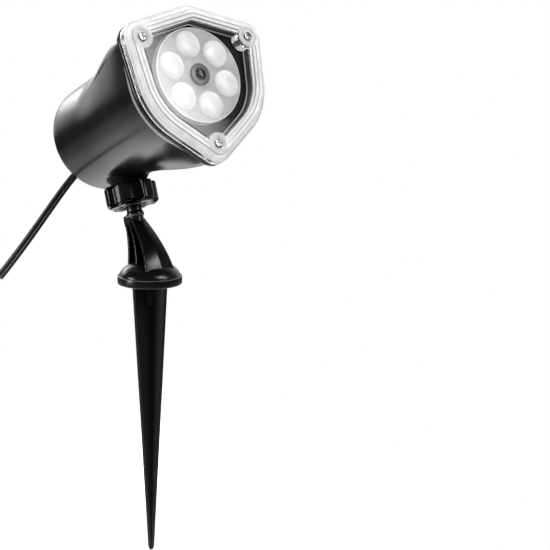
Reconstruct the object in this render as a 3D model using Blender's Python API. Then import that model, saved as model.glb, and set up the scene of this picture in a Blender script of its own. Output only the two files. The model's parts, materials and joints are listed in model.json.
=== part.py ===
"""Light projector on a garden stake.

A plug-in stake carries a flanged support arm that ends in a ball.  The projector head is clamped
on the ball by a lobed nut, so it swivels, tilts and leans.  In the head, an LED shines through a
condenser and a pattern slide, and a geared motor turns a wheel of six lenses behind a clear cover.

World frame: origin at the middle of the flange's underside, on the stake's axis; +Z up; the head
faces -Y.  The head is modelled in its own frame: x across, y up, z forwards along the optical
axis, with z = 0 at the lens wheel's front face.  The ball joint has a frame of its own as well,
with z along the ball stud.
"""

from math import cos, degrees, pi, radians, sin, tau

import bmesh
import bpy
import numpy as np
from mathutils import Matrix, Vector

MM = 0.001
GAP = 0.3 * MM  # between pieces that touch

# Pose of the head
HEAD_PITCH = radians(20.6)
HEAD_AT = Vector((0.0, -48.9, 120.3)) * MM  # middle of the lens wheel's front face
BALL_BACK = 89.0 * MM  # ball centre, behind the lens wheel and below the optical axis
BALL_DROP = 42.0 * MM

# Stake and support arm
STAKE_LENGTH = 166.0 * MM
STAKE_TURN = radians(12.5)
STAKE_HALF_WIDTH = 13.3 * MM
STAKE_TIP_HALF_WIDTH = 1.3 * MM
STAKE_WEB = 2.3 * MM
STAKE_BOSS_R = 4.45 * MM
STAKE_BOSS_LENGTH = 12.5 * MM
SPIGOT_R = 4.4 * MM
SPIGOT_LENGTH = 9.0 * MM
SOCKET_R = 4.75 * MM
FLANGE_R = 18.84 * MM
FLANGE_RIM = 5.0 * MM
DOME_R = 17.9 * MM
DOME_HEIGHT = 13.5 * MM
PLATE = 2.0 * MM

# Ball joint
BALL_R = 7.5 * MM
LINER_IN_R = 7.8 * MM
LINER_OUT_R = 9.0 * MM
CUP_R = 9.35 * MM
NUT_R = 15.4 * MM
NUT_VALLEY_R = 12.3 * MM
NUT_BORE_R = 10.85 * MM
NUT_HOLE_R = 8.5 * MM
NUT_TOP = 5.9 * MM
NUT_BOTTOM = -7.0 * MM
NUT_FLOOR = -5.0 * MM  # top of the nut's inner lip, which lifts the washer
NUT_FLARE = 2.4 * MM  # how much wider the nut's hole is at its mouth, so that the neck can lean
NUT_LOBES = 6
NUT_TURN = -77.0  # direction of one lobe's middle, in degrees

# Outline of the cover and of the housing's mouth: arcs given by direction, distance and radius
SCREW_DIRECTIONS = (30, 150, 270)
CORNER_ARC = (39.3 * MM, 9.1 * MM)
TOP_ARC = (27.2 * MM, 10.6 * MM)
SIDE_ARC = (3.1 * MM, 37.7 * MM)
SCREW_CIRCLE_R = 38.75 * MM

# Cover, housing and bezel, as places along the optical axis
LIP_FRONT = -2.9 * MM
LIP_BACK = -5.1 * MM
TAPER_LENGTH = 76.0 * MM
HOUSING_BACK = -114.0 * MM
REAR_R = 32.45 * MM
REAR_DROP = 1.0 * MM
REAR_ROUND = 6.0 * MM
WALL = 2.2 * MM
LIP_WALL = 2.4 * MM
REAR_WALL = 3.0 * MM
LIP_STEP = 2.5 * MM  # how far the lip stands out from the body at the corners
BOSS_R = 6.0 * MM
POST_R = 4.6 * MM
POST_BACK = -11.9 * MM
BEZEL_FLOOR = (-5.5 * MM, -4.0 * MM)
BEZEL_HOLE_R = 26.6 * MM

# Lens wheel and its drive
WHEEL_R = 26.05 * MM
WHEEL_SKIRT = 1.1 * MM
LENS_COUNT = 6
LENS_R = 7.5 * MM
LENS_CIRCLE_R = 17.1 * MM
LENS_RISE = 1.8 * MM
LENS_PHASE = 101.7  # direction of one lens, in degrees
DISC = 2.0 * MM
HUB_R = 4.0 * MM
GEAR_MODULE = 0.9 * MM
WHEEL_TEETH = 63
PINION_TEETH = 9
GEAR_BACKLASH = 0.15 * MM
MOTOR_DIRECTION = 14  # degrees
MOTOR_TURN = -2  # degrees
GEAR_SPAN = (-9.7 * MM, -6.2 * MM)
GEARBOX = (8.0 * MM, 10.0 * MM, 8.0 * MM)
MOTOR_CAN = 8.5 * MM
MOTOR_SCREW_Y = 3.7 * MM
SHAFT_R = 1.5 * MM
RUNNING_FIT = 0.08 * MM

# Optical unit and electronics
CARRIER_SPAN = (-14.2 * MM, -12.2 * MM)
CARRIER_POSTS = (90, 210, 330)
CARRIER_POST_INSET = 2.8 * MM
SLIDE_R = 23.5 * MM
SINK_SLOTS = 7
BOARD_HEIGHT = 12.0 * MM
BOARD_THICKNESS = 1.6 * MM
BOARD_SCREW = (15.0 * MM, 96.0 * MM)  # either side of the middle, and behind the lens wheel

# Cord: where it leaves the housing, and the points that steer it down to where it is cut
CABLE_HEIGHT = -16.0 * MM
CABLE_HOLE_R = 4.3 * MM
CORD_HALF_WIDTH = 2.45 * MM
CORD_LOBE_R = 1.3 * MM
CORD_STRAIGHT = 23.25 * MM
CORD_STEER = ((7.3, 82.3, 74.8), (-23.0, 80.6, 31.2), (-71.0, 52.6, 3.1))  # mm

SEGMENTS = 36

BLACK = ((0.018, 0.018, 0.020), 0.38, 0.0)
GLOSS_BLACK = ((0.022, 0.021, 0.022), 0.22, 0.0)
CLEAR = ((0.86, 0.88, 0.90), 0.05, 0.0)
SMOKE = ((0.20, 0.20, 0.21), 0.15, 0.0)
STEEL = ((0.55, 0.55, 0.56), 0.30, 1.0)
ALUMINIUM = ((0.72, 0.73, 0.74), 0.40, 1.0)
RUBBER = ((0.03, 0.03, 0.03), 0.75, 0.0)
GEAR_WHITE = ((0.80, 0.80, 0.78), 0.45, 0.0)
BRASS = ((0.72, 0.53, 0.25), 0.32, 1.0)
BOARD_GREEN = ((0.03, 0.22, 0.10), 0.50, 0.0)
BOARD_WHITE = ((0.85, 0.85, 0.84), 0.50, 0.0)
FILM = ((0.25, 0.45, 0.60), 0.30, 0.0)
PHOSPHOR = ((0.90, 0.75, 0.25), 0.40, 0.0)
WIRE_RED = ((0.50, 0.04, 0.03), 0.50, 0.0)


# ---------------------------------------------------------------- building blocks

def new_frame(name, location, rotation_x=0.0):
    """An empty that carries the pieces modelled in its frame."""
    frame = bpy.data.objects.new(name, None)
    frame.location = location
    frame.rotation_euler = (rotation_x, 0.0, 0.0)
    bpy.context.scene.collection.objects.link(frame)
    return frame


def material_for(name, look):
    colour, roughness, metallic = look
    material = bpy.data.materials.new(name)
    material.use_nodes = True
    shader = material.node_tree.nodes["Principled BSDF"]
    shader.inputs["Base Color"].default_value = (*colour, 1.0)
    shader.inputs["Roughness"].default_value = roughness
    shader.inputs["Metallic"].default_value = metallic
    if look in (CLEAR, SMOKE, FILM):
        shader.inputs["Transmission Weight"].default_value = 0.9
    return material


def skin(rings, closed=False):
    """A bmesh over a stack of rings.  A ring of one point makes a pole; open stacks are capped."""
    bm = bmesh.new()
    rows = [[bm.verts.new(point) for point in ring] for ring in rings]
    for low, high in zip(rows, rows[1:] + (rows[:1] if closed else [])):
        count = max(len(low), len(high))
        for i in range(count):
            j = (i + 1) % count
            corners = [low[i % len(low)], low[j % len(low)], high[j % len(high)], high[i % len(high)]]
            bm.faces.new(list(dict.fromkeys(corners)))
    if not closed:
        for end in (rows[0], rows[-1]):
            if len(end) > 2:
                bm.faces.new(end)
    bmesh.ops.recalc_face_normals(bm, faces=bm.faces)
    return bm


def new_object(name, bm, parent=None, look=BLACK, smooth=30):
    mesh = bpy.data.meshes.new(name)
    bm.to_mesh(mesh)
    bm.free()
    mesh.shade_smooth()
    mesh.set_sharp_from_angle(angle=radians(smooth))
    mesh.materials.append(material_for(name, look))
    obj = bpy.data.objects.new(name, mesh)
    obj.parent = parent
    bpy.context.scene.collection.objects.link(obj)
    return obj


def boolean(obj, bm, operation):
    """Cut a shape from an object, or join it on.  The tool stays in the file as a hidden wire."""
    tool = new_object(f"tool_{obj.name}_{len(obj.modifiers)}", bm, obj.parent)
    tool.hide_render = True
    tool.display_type = "WIRE"
    modifier = obj.modifiers.new(operation.title(), "BOOLEAN")
    modifier.operation = operation
    modifier.object = tool


def cut(obj, *shapes):
    for shape in shapes:
        boolean(obj, shape, "DIFFERENCE")


def join(obj, *shapes):
    for shape in shapes:
        boolean(obj, shape, "UNION")


def circle(radius, height, segments=SEGMENTS, centre=(0.0, 0.0), turn=0.0):
    if radius == 0:
        return [Vector((*centre, height))]
    angles = [turn + tau * i / segments for i in range(segments)]
    return [Vector((centre[0] + radius * cos(a), centre[1] + radius * sin(a), height)) for a in angles]


def revolve(profile, segments=SEGMENTS, centre=(0.0, 0.0), closed=False):
    """Turn (radius, height) points about an axis along z."""
    return skin([circle(r, z, segments, centre) for r, z in profile], closed)


def rod(radius, low, high, centre=(0.0, 0.0), segments=SEGMENTS):
    return revolve([(radius, low), (radius, high)], segments, centre)


def prism(outline, low, high):
    """Extrude a flat outline of (x, y) points along z."""
    return skin([[Vector((x, y, z)) for x, y in outline] for z in (low, high)])


def block(low, high):
    (x0, y0, z0), (x1, y1, z1) = low, high
    return prism([(x0, y0), (x1, y0), (x1, y1), (x0, y1)], z0, z1)


def mm(points):
    """A profile written in millimetres, in metres."""
    return [tuple(value * MM for value in point) for point in points]


def moved(bm, matrix):
    bmesh.ops.transform(bm, matrix=matrix, verts=bm.verts)
    return bm


def polar(radius, degrees):
    return (radius * cos(radians(degrees)), radius * sin(radians(degrees)))


def arc(radius, start, end, steps, centre=(0.0, 0.0)):
    """Points on an arc from start to end, in degrees."""
    return [
        (centre[0] + radius * cos(radians(a)), centre[1] + radius * sin(radians(a)))
        for a in np.linspace(start, end, steps + 1)
    ]


def sector(inner, outer, start, end, steps=5):
    return arc(inner, start, end, steps) + arc(outer, end, start, steps)


def bezier(points, steps):
    """Points along a Bezier curve of any degree."""
    rows = []
    for t in np.linspace(0.0, 1.0, steps + 1):
        row = [Vector(point) for point in points]
        while len(row) > 1:
            row = [a.lerp(b, t) for a, b in zip(row, row[1:])]
        rows.append(row[0])
    return rows


def sweep(path, section, side=Vector((1.0, 0.0, 0.0))):
    """Carry a section of (sideways, outwards) points along a path, without twist about side."""
    rings = []
    for i, point in enumerate(path):
        along = (path[min(i + 1, len(path) - 1)] - path[max(i - 1, 0)]).normalized()
        outwards = along.cross(side).normalized()
        across = outwards.cross(along).normalized()
        rings.append([point + across * u + outwards * v for u, v in section])
    return skin(rings)


def screw(name, parent, at, head, length, crossed=False):
    """A pan-head screw pointing along -z.  at is its head's underside; head its radius, height and shank."""
    x, y, z = at
    head_r, head_height, shank_r = head
    top = z + head_height
    profile = [(0.0, z - length), (shank_r, z - length + shank_r), (shank_r, z), (head_r, z)]
    profile += [(head_r, z + 0.6 * head_height), (0.7 * head_r, top), (0.0, top)]
    screw_object = new_object(name, revolve(profile, 16 if crossed else 10, (x, y)), parent, STEEL)
    if crossed:
        reach_out, thin, floor = 0.75 * head_r, 0.13 * head_r, z + 0.5 * head_height
        cut(
            screw_object,
            block((x - reach_out, y - thin, floor), (x + reach_out, y + thin, top + MM)),
            block((x - thin, y - reach_out, floor), (x + thin, y + reach_out, top + 2 * MM)),
        )
    return screw_object


# ---------------------------------------------------------------- the cover's outline

def outline_directions():
    """Directions of the outline's points, closer together round the three screw corners."""
    near = [-14, -7, 0, 7, 14]
    far = [14 + 92 / 11 * i for i in range(1, 11)]
    return [radians(corner + step) for corner in SCREW_DIRECTIONS for step in near + far]


def reach(corner_trim=0.0, side_trim=0.0):
    """How far the outline reaches along each of 360 directions."""
    arcs = [(d, CORNER_ARC[0], CORNER_ARC[1] - corner_trim) for d in SCREW_DIRECTIONS]
    arcs += [(90, TOP_ARC[0], TOP_ARC[1] - corner_trim)]
    arcs += [(d, SIDE_ARC[0], SIDE_ARC[1] - side_trim) for d in (210, 330)]
    normals = np.radians(np.arange(360.0))
    return normals, np.max([dist * np.cos(normals - radians(d)) + r for d, dist, r in arcs], axis=0)


def outline_radii(inset=0.0, corner_trim=0.0, side_trim=0.0):
    """Distance from the axis to the outline's edge in each direction, moved in by the inset."""
    normals, distance = reach(corner_trim, side_trim)
    radii = []
    for direction in outline_directions():
        facing = np.cos(normals - direction)
        ahead = facing > 0.3
        radii.append(float(np.min((distance[ahead] - inset) / facing[ahead])))
    return np.array(radii)


def outline_ring(radii, z, drop=0.0):
    return [Vector((r * cos(a), r * sin(a) - drop, z)) for r, a in zip(radii, outline_directions())]


def inset_ring(inset, z):
    return outline_ring(outline_radii(inset), z)


def corner_slots(radius, low, high):
    """Clearance for a round boss at each screw corner, open to the outside."""
    shapes = []
    for direction in SCREW_DIRECTIONS:
        near = np.array(polar(SCREW_CIRCLE_R, direction))
        far = np.array(polar(SCREW_CIRCLE_R + 12 * MM, direction))
        outline = [tuple(near + polar(radius, direction + a)) for a in range(90, 271, 15)]
        outline += [tuple(far + polar(radius, direction + a)) for a in (-90, 90)]
        shapes.append(prism(outline, low, high))
    return shapes


# ---------------------------------------------------------------- stake and arm

def make_stake():
    def plus(half, web, z):
        t = web / 2
        quarter = [(half, -t), (half, t), (t, t)]
        ring = []
        for turn in range(4):
            a = turn * pi / 2
            ring += [Vector((x * cos(a) - y * sin(a), x * sin(a) + y * cos(a), z)) for x, y in quarter]
        return ring

    taper_end = -STAKE_LENGTH + 3 * MM
    rings = [
        plus(STAKE_HALF_WIDTH, STAKE_WEB, -GAP),
        plus(STAKE_TIP_HALF_WIDTH + 0.4 * MM, STAKE_WEB, taper_end),
        plus(STAKE_TIP_HALF_WIDTH - 0.3 * MM, 0.6 * STAKE_WEB, -STAKE_LENGTH),
    ]
    stake = new_object("ground_stake", skin(rings), None, BLACK)
    stake.rotation_euler = (0.0, 0.0, STAKE_TURN)
    boss = [(0.0, -STAKE_BOSS_LENGTH), (STAKE_BOSS_R - 0.5 * MM, -STAKE_BOSS_LENGTH)]
    boss += [(STAKE_BOSS_R, -STAKE_BOSS_LENGTH + 0.5 * MM), (STAKE_BOSS_R, -0.4 * MM), (SPIGOT_R, 0.0)]
    boss += [(SPIGOT_R, SPIGOT_LENGTH - 0.8 * MM), (SPIGOT_R - 0.6 * MM, SPIGOT_LENGTH), (0.0, SPIGOT_LENGTH)]
    join(stake, revolve(boss, 24))


def arm_paths():
    """Middle lines of the arm's front, middle and back plates, in the plane x = 0."""
    front = bezier([(0, -12.9, 3.5), (0, -10.2, 21.8), (0, 15.2, 38.5)], 6)
    middle = bezier([(0, -0.7, 4.0), (0, 0.3, 22.2), (0, 17.8, 38.4)], 6)
    back = bezier([(0, 9.0, 4.0), (0, 8.9, 24.7), (0, 20.6, 37.0)], 6)
    return [[point * MM for point in path] for path in (front, middle, back)]


def tapered_plate(path, foot, top, crest, thickness):
    """A plate along a path: half-width from foot to top, with a crease that stands out by crest."""
    rings = []
    for i, point in enumerate(path):
        share = i / (len(path) - 1)
        half = foot + (top - foot) * share
        along = (path[min(i + 1, len(path) - 1)] - path[max(i - 1, 0)]).normalized()
        out = Vector((0.0, -along.z, along.y))
        side = Vector((half, 0.0, 0.0))
        rise = out * crest * (1 - 0.6 * share)
        ring = [point - side, point + rise, point + side]
        ring += [corner - out * thickness for corner in reversed(ring)]
        rings.append(ring)
    return skin(rings)


def make_arm(ball_frame):
    profile = [(0.0, 0.0), (FLANGE_R - 0.8 * MM, 0.0), (FLANGE_R, 0.8 * MM), (FLANGE_R, FLANGE_RIM - 0.9 * MM)]
    profile += [(FLANGE_R - 0.7 * MM, FLANGE_RIM)]
    dome_foot = FLANGE_RIM - MM
    profile += [(DOME_R * x, dome_foot + (DOME_HEIGHT - dome_foot) * y) for x, y in arc(1.0, 8, 73.6, 4)]
    profile += [(0.0, DOME_HEIGHT)]
    arm = new_object("support_arm", revolve(profile, 32), None, BLACK)
    front, middle, back = arm_paths()
    join(
        arm,
        tapered_plate(front, 10.7 * MM, 4.1 * MM, 2.0 * MM, PLATE),
        tapered_plate(middle, 9.7 * MM, 4.6 * MM, 0.0, 1.8 * MM),
        tapered_plate(back, 9.2 * MM, 4.6 * MM, 0.0, 1.8 * MM),
    )
    web = [Vector((-1.1 * MM, p.y, p.z)) for p in front]
    web += [Vector((-1.1 * MM, p.y, p.z)) for p in reversed(back)]
    join(arm, skin([web, [p + Vector((2.2 * MM, 0, 0)) for p in web]]))
    to_ball = ball_frame.matrix_basis.copy()
    shoulder = mm([(0.0, -17.0), (4.4, -17.0), (4.5, -13.6), (5.25, -12.8), (5.25, -11.4), (4.6, -10.4)])
    ball = arc(BALL_R, -52, 78, 11)
    join(arm, moved(revolve(shoulder + ball + [(0.0, BALL_R)], 24), to_ball))
    saddle = block((-4.9 * MM, -0.5 * MM, -17.5 * MM), (4.9 * MM, 6.2 * MM, -13.2 * MM))
    join(arm, moved(saddle, to_ball))
    cut(arm, rod(SOCKET_R, -1 * MM, SPIGOT_LENGTH + GAP, segments=24))


# ---------------------------------------------------------------- ball joint

def shell_profile(start, end, steps):
    """A band of spherical shell between two angles from the +z axis."""
    angles = [radians(a) for a in np.linspace(start, end, steps + 1)]
    outer = [(LINER_OUT_R * sin(a), LINER_OUT_R * cos(a)) for a in angles]
    inner = [(LINER_IN_R * sin(a), LINER_IN_R * cos(a)) for a in reversed(angles)]
    return outer, inner


def make_liners(ball_frame):
    outer, inner = shell_profile(0, 58, 4)
    outer[0], inner[-1] = (0.0, LINER_OUT_R), (0.0, LINER_IN_R)
    new_object("upper_ball_liner", revolve(outer + inner, 24), ball_frame, GEAR_WHITE)
    outer, inner = shell_profile(96, 142, 3)
    new_object("lower_ball_liner", revolve(outer + inner, 24, closed=True), ball_frame, GEAR_WHITE)


def nut_outline(scale):
    """Six broad lobes with shallow hollows between them."""
    points = []
    lobe = 360 / NUT_LOBES
    for i in range(NUT_LOBES):
        middle = i * lobe + NUT_TURN
        points += [polar(NUT_R * scale, middle + a) for a in (-15, -8, 8, 15)]
        points += [polar(NUT_VALLEY_R * scale, middle + a) for a in (19, 30, 41)]
    return points


def make_nut(ball_frame):
    levels = [(NUT_BOTTOM, 0.90), (NUT_BOTTOM + 1.2 * MM, 1.0), (NUT_TOP - 0.8 * MM, 1.0), (NUT_TOP, 0.95)]
    rings = [[Vector((x, y, z)) for x, y in nut_outline(scale)] for z, scale in levels]
    nut = new_object("lock_nut", skin(rings), ball_frame, GLOSS_BLACK)
    mouth, above = NUT_BOTTOM - 1 * MM, NUT_TOP + 1 * MM
    bore = [(0.0, mouth), (NUT_HOLE_R + NUT_FLARE, mouth), (NUT_HOLE_R, NUT_FLOOR - 0.7 * MM)]
    bore += [(NUT_HOLE_R, NUT_FLOOR), (NUT_BORE_R, NUT_FLOOR), (NUT_BORE_R, above), (0.0, above)]
    cut(nut, revolve(bore, 24))
    washer = mm([(9.1, -2.5), (10.4, -2.5), (10.4, -4.7), (8.3, -4.7)])
    new_object("nut_washer", revolve(washer, 24, closed=True), ball_frame, STEEL)


# ---------------------------------------------------------------- housing, cover and bezel

def taper(s):
    """0 where the housing has the cover's outline, 1 where it is round, s behind the lens wheel."""
    u = min(max((s + LIP_BACK) / TAPER_LENGTH, 0.0), 1.0)
    return u * u * (3 - 2 * u)


def housing_ring(s, inset):
    body = outline_radii(0.0, corner_trim=LIP_STEP, side_trim=0.15 * MM)
    t = taper(s)
    return outline_ring((1 - t) * body + t * REAR_R - inset, -s, REAR_DROP * t)


def carrier_post_at(direction):
    """Middle of a carrier post, placed so that the post grows out of the housing's wall."""
    facing = [cos(radians(direction) - a) for a in outline_directions()]
    wall = housing_ring(-CARRIER_SPAN[0], WALL)[int(np.argmax(facing))]
    return polar(wall.xy.length - CARRIER_POST_INSET, direction)


def housing_shell():
    """The housing's rings, from the middle of its inner rear wall out over the mouth and round to the back."""
    count = len(outline_directions())
    rear = arc(REAR_ROUND, 0, 90, 3, (REAR_R - REAR_ROUND, -HOUSING_BACK - REAR_ROUND))
    floor = -HOUSING_BACK - REAR_WALL
    inner_rear = [(REAR_R - 3.5 * MM, floor), (REAR_R - WALL, floor - 2 * MM)]
    rings = [outline_ring(np.full(count, r), -s, REAR_DROP) for r, s in inner_rear]
    rings += [housing_ring(s * MM, WALL) for s in (94, 64, 40, 16)]
    rings += [housing_ring(-LIP_BACK + WALL, WALL)]
    rings += [inset_ring(LIP_WALL, LIP_BACK - 0.2 * MM), inset_ring(LIP_WALL, LIP_FRONT)]
    rings += [inset_ring(0.0, LIP_FRONT), inset_ring(0.0, LIP_BACK), housing_ring(-LIP_BACK, 0.0)]
    rings += [housing_ring(s * MM, 0.0) for s in (16, 30, 44, 58, 76, 94)]
    return rings + [outline_ring(np.full(count, r), -s, REAR_DROP) for r, s in rear]


def make_housing(head, ball_frame):
    housing = new_object("rear_housing", skin(housing_shell()), head, BLACK, smooth=24)
    into_head = head.matrix_basis.inverted() @ ball_frame.matrix_basis
    upright = Matrix.Rotation(-pi / 2, 4, "X")
    board_posts = [(side * BOARD_SCREW[0], BOARD_SCREW[1]) for side in (-1, 1)]

    for direction in SCREW_DIRECTIONS:
        join(housing, rod(POST_R, POST_BACK, LIP_FRONT, polar(SCREW_CIRCLE_R, direction), 16))
        rib = block((SCREW_CIRCLE_R, -1.5 * MM, POST_BACK), (44.6 * MM, 1.5 * MM, LIP_FRONT - GAP))
        join(housing, moved(rib, Matrix.Rotation(radians(direction), 4, "Z")))
    for direction in CARRIER_POSTS:
        join(housing, rod(3.3 * MM, -36 * MM, CARRIER_SPAN[0] - GAP, carrier_post_at(direction), 10))
    for centre in board_posts:
        post = rod(2.6 * MM, BOARD_HEIGHT + BOARD_THICKNESS + 2 * GAP, 26 * MM, centre, 10)
        join(housing, moved(post, upright))
    collar = [(0.0, 12.5), (13.2, 12.5), (13.2, 11.2), (11.8, 9.2), (10.9, 7.8), (10.5, 6.4), (10.5, -2.2)]
    collar += [(0.0, -2.2)]
    join(housing, moved(revolve(mm(collar), 32), into_head))

    for direction in SCREW_DIRECTIONS:
        cut(housing, rod(1.8 * MM, POST_BACK + MM, 0.0, polar(SCREW_CIRCLE_R, direction), 10))
    for direction in CARRIER_POSTS:
        cut(housing, rod(1.3 * MM, -22 * MM, 0.0, carrier_post_at(direction), 8))
    for centre in board_posts:
        cut(housing, moved(rod(1.2 * MM, 5 * MM, 22 * MM, centre, 8), upright))
    rear_hole = (HOUSING_BACK - 2 * MM, HOUSING_BACK + REAR_WALL + 2 * MM)
    cut(housing, rod(CABLE_HOLE_R, *rear_hole, (0.0, CABLE_HEIGHT), 16))
    cup = [(0.0, -3 * MM), (CUP_R, -3 * MM)] + arc(CUP_R, 0, 72, 4) + [(0.0, CUP_R)]
    cut(housing, moved(revolve(cup, 24), into_head))


def make_cover(head):
    """A thick clear cap: a raised rim with a step on each side, a flat window and a bevelled skirt."""
    rings = [
        (8.7, 5.0), (8.2, 5.05), (7.5, 5.9), (3.6, 5.9), (3.1, 5.4), (2.5, 5.2), (1.0, 4.0), (0.5, 2.94),
        (0.0, 2.4), (0.0, -1.3), (2.2, -1.3), (2.3, 2.2), (3.4, 3.5), (8.6, 3.5), (9.0, 3.4),
    ]
    cover = new_object("front_cover", skin([inset_ring(inset, z) for inset, z in mm(rings)]), head, CLEAR)
    corners = [polar(SCREW_CIRCLE_R, direction) for direction in SCREW_DIRECTIONS]
    boss = [(BOSS_R, LIP_FRONT + GAP), (BOSS_R, 5.3 * MM), (BOSS_R - 0.4 * MM, 5.7 * MM)]
    for centre in corners:
        join(cover, revolve(boss, 20, centre))
    for centre in corners:
        cut(cover, revolve(mm([(1.8, -4.0), (1.8, 3.9), (3.5, 3.9), (3.5, 8.0)]), 14, centre))
    for i, centre in enumerate(corners, 1):
        at = (*centre, 4.2 * MM)
        screw(f"cover_screw_{i}", head, at, (2.9 * MM, 1.5 * MM, 1.5 * MM), 14.5 * MM, crossed=True)


def make_gasket(head):
    rings = [inset_ring(inset, z) for inset, z in mm([(0.8, -2.6), (0.8, -1.6), (2.0, -1.6), (2.0, -2.6)])]
    new_object("cover_gasket", skin(rings, closed=True), head, RUBBER)


def make_bezel(head):
    low, high = BEZEL_FLOOR
    wall = mm([(8.4, 3.0), (9.5, 3.0), (9.5, -0.6), (10.1, -0.6)])
    levels = [(3.0 * MM, low), (3.0 * MM, high), (wall[0][0], high), *wall, (wall[-1][0], high)]
    rings = [inset_ring(inset, z) for inset, z in levels]
    count = len(outline_directions())
    rings += [outline_ring(np.full(count, BEZEL_HOLE_R), z) for z in (high, low)]
    bezel = new_object("inner_bezel", skin(rings, closed=True), head, BLACK)
    cut(bezel, *corner_slots(BOSS_R + 0.5 * MM, low - MM, 4.0 * MM))


# ---------------------------------------------------------------- lens wheel and drive

def lens_dome(centre):
    bulge = [(LENS_R * x, LENS_RISE * y) for x, y in arc(1.0, 0, 35, 1)]
    return revolve([(LENS_R, -MM), *bulge, (0.0, LENS_RISE)], 14, centre)


def make_wheel(head):
    bore, rim = SHAFT_R + RUNNING_FIT, WHEEL_R - WHEEL_SKIRT
    back, hub_back = GEAR_SPAN[0] - GAP, -6.5 * MM
    profile = [(bore, 0.0), (WHEEL_R - 0.3 * MM, 0.0), (WHEEL_R, -0.3 * MM), (WHEEL_R, back), (rim, back)]
    profile += [(rim, -DISC), (HUB_R, -DISC), (HUB_R, hub_back), (bore, hub_back)]
    wheel = new_object("lens_wheel", revolve(profile, 40, closed=True), head, CLEAR)
    for i in range(LENS_COUNT):
        join(wheel, lens_dome(polar(LENS_CIRCLE_R, LENS_PHASE + 360 * i / LENS_COUNT)))
    cap = [(bore, GAP), *mm([(6.3, 0.3), (6.3, 1.1), (5.9, 1.45)]), (bore, 1.45 * MM)]
    new_object("hub_cap", revolve(cap, 20, closed=True), head, SMOKE)
    screw("hub_pin", head, (0.0, 0.0, 1.75 * MM), (2.6 * MM, 1.3 * MM, SHAFT_R), 15.3 * MM, crossed=True)


def gear_outline(teeth, turn):
    """Straight-sided teeth, thin enough at the pitch circle to run with play."""
    pitch_r, pitch = GEAR_MODULE * teeth / 2, pi * GEAR_MODULE
    root, tip = pitch_r - 1.05 * GEAR_MODULE, pitch_r + 0.8 * GEAR_MODULE
    root_half, tip_half = degrees(0.31 * pitch / root), degrees(0.10 * pitch / tip)
    flank = ((root, -root_half), (tip, -tip_half), (tip, tip_half), (root, root_half))
    return [polar(r, turn + 360 * i / teeth + a) for i in range(teeth) for r, a in flank]


def gear_centre_distance():
    return GEAR_MODULE * (WHEEL_TEETH + PINION_TEETH) / 2 + GEAR_BACKLASH


def motor_matrix():
    """Motor frame: origin on its shaft, turned so that the gearbox's flat side faces the housing's wall."""
    at = polar(gear_centre_distance(), MOTOR_DIRECTION)
    return Matrix.Translation((*at, 0.0)) @ Matrix.Rotation(radians(MOTOR_TURN), 4, "Z")


def make_drive(head):
    low, high = GEAR_SPAN
    gear = new_object("wheel_gear", prism(gear_outline(WHEEL_TEETH, MOTOR_DIRECTION), low, high), head, GEAR_WHITE)
    cut(gear, rod(WHEEL_R + GAP, low - MM, high + MM, segments=48))
    place = motor_matrix()
    axis = new_frame("motor_axis", place.to_translation())
    axis.parent = head
    pinion = prism(gear_outline(PINION_TEETH, MOTOR_DIRECTION), low - 0.2 * MM, high + 0.2 * MM)
    pinion = new_object("motor_pinion", pinion, axis, GEAR_WHITE)
    cut(pinion, rod(SHAFT_R + 0.07 * MM, low - MM, high + MM, segments=16))

    front = CARRIER_SPAN[0] - GAP
    back = front - GEARBOX[2]
    new_object("motor_shaft", rod(SHAFT_R, front - 1.1 * MM, high, segments=16), axis, STEEL)
    half_x, half_y = GEARBOX[0] / 2, GEARBOX[1] / 2
    gearbox = moved(block((-half_x, -half_y, back), (half_x, half_y, front)), place)
    gearbox = new_object("motor_gearbox", gearbox, head, BRASS)
    cut(gearbox, moved(rod(SHAFT_R + GAP, front - 3 * MM, front + MM, segments=20), place))
    can_front, can_back = back - GAP, back - GAP - MOTOR_CAN
    outline = mm([(3.8, -2.8), (3.8, 2.8), (2.5, 4.8), (-2.5, 4.8), (-3.8, 2.8), (-3.8, -2.8), (-2.5, -4.8), (2.5, -4.8)])
    can = new_object("motor_can", moved(prism(outline, can_back, can_front), place), head, STEEL)
    join(can, moved(rod(2.0 * MM, can_back - MM, can_back + MM, segments=12), place))
    for i, y in enumerate((-MOTOR_SCREW_Y, MOTOR_SCREW_Y), 1):
        cut(gearbox, moved(rod(0.95 * MM, front - 4 * MM, front + MM, (0.0, y), 10), place))
        at = place @ Vector((0.0, y, CARRIER_SPAN[1] + 0.1 * MM))
        screw(f"motor_screw_{i}", head, at, (1.3 * MM, 0.8 * MM, 0.7 * MM), 4.6 * MM)


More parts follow.
